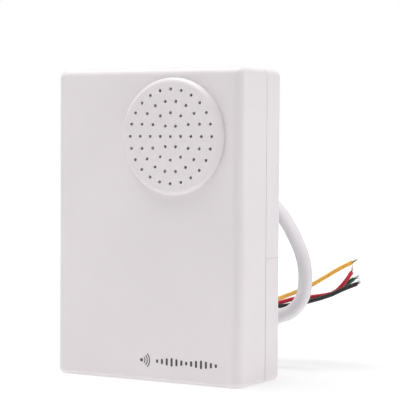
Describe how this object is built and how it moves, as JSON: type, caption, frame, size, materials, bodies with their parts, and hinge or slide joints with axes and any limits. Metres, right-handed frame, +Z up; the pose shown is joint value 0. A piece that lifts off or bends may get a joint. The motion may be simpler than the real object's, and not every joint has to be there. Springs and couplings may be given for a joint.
{
  "type": "doorbell chime box",
  "caption": "Wired doorbell chime box: moulded case with a raised round speaker grille, loudspeaker and chime board inside, and a multi-core lead with bare ends.",
  "frame": {"origin": "under the middle of the box, on the surface that it stands on, with the lead left out of the middle", "axes": "+Z up along the box's height, +Y towards the wall behind it, so that the grille faces -Y, and +X to the right seen from the front"},
  "size_m": [0.1032, 0.0857, 0.125],
  "materials": {
    "case_abs": "satin moulded ABS, off-white",
    "rubber_grey": "moulded rubber, dark grey",
    "nylon": "moulded nylon, natural white",
    "zinc_steel": "pressed steel, bright zinc plate",
    "ferrite": "sintered ferrite, matt charcoal",
    "cone_paper": "pressed paper, black",
    "surround_rubber": "moulded rubber, black",
    "spider_cloth": "resin-dipped cloth, amber",
    "coil_copper": "enamelled copper winding",
    "gasket_foam": "closed-cell foam, black",
    "phenolic": "phenolic fibre board, brown",
    "tinned": "tinned copper",
    "board_green": "glass-epoxy board, green solder mask",
    "chip_black": "moulded epoxy, black",
    "capacitor_sleeve": "heat-shrunk sleeve, dark blue",
    "resistor_tan": "lacquer, tan",
    "header_nylon": "moulded nylon, cream",
    "pvc_white": "extruded PVC, white",
    "pvc_yellow": "extruded PVC, amber yellow",
    "pvc_red": "extruded PVC, red",
    "pvc_black": "extruded PVC, black",
    "pvc_green": "extruded PVC, green"
  },
  "bodies": {
    "case": {"rear_housing": "case_abs", "cable_grommet": "rubber_grey", "cable_tie": "nylon", "speaker_basket": "zinc_steel", "speaker_yoke": "zinc_steel", "speaker_magnet": "ferrite", "speaker_top_plate": "zinc_steel", "speaker_spider": "spider_cloth", "cone_surround": "surround_rubber", "speaker_gasket": "gasket_foam", "speaker_terminal": "phenolic", "speaker_tags": "tinned", "speaker_screws": "zinc_steel", "circuit_board": "board_green", "chime_chip": "chip_black", "chip_pins": "tinned", "capacitors": "capacitor_sleeve", "transistors": "chip_black", "component_legs": "tinned", "diodes": "chip_black", "resistors": "resistor_tan", "cable_header": "header_nylon", "speaker_header": "header_nylon", "board_screws": "zinc_steel", "speaker_lead_red": "pvc_red", "speaker_lead_black": "pvc_black", "inner_yellow": "pvc_yellow", "inner_red": "pvc_red", "inner_black": "pvc_black", "inner_green": "pvc_green", "cable_sheath": "pvc_white", "core_yellow": "pvc_yellow", "core_red": "pvc_red", "core_black": "pvc_black", "core_green": "pvc_green", "bare_ends": "tinned"},
    "cover": {"front_cover": "case_abs"},
    "door": {"rear_door": "case_abs"},
    "cone": {"speaker_cone": "cone_paper", "dust_cap": "cone_paper", "voice_coil": "coil_copper"}
  },
  "joints": [
    {"name": "cover_pull", "type": "slide", "parent": "case", "child": "cover", "axis": [0, -1, 0], "range_m": [0, 0.04]},
    {"name": "door_unclip", "type": "slide", "parent": "case", "child": "door", "axis": [0, 1, 0], "range_m": [0, 0.014]},
    {"name": "cone_stroke", "type": "slide", "parent": "case", "child": "cone", "axis": [0, -1, 0], "range_m": [-0.0008, 0.0008], "stiffness_N_per_m": 900, "deforming": ["cone_surround", "speaker_spider"]}
  ]
}
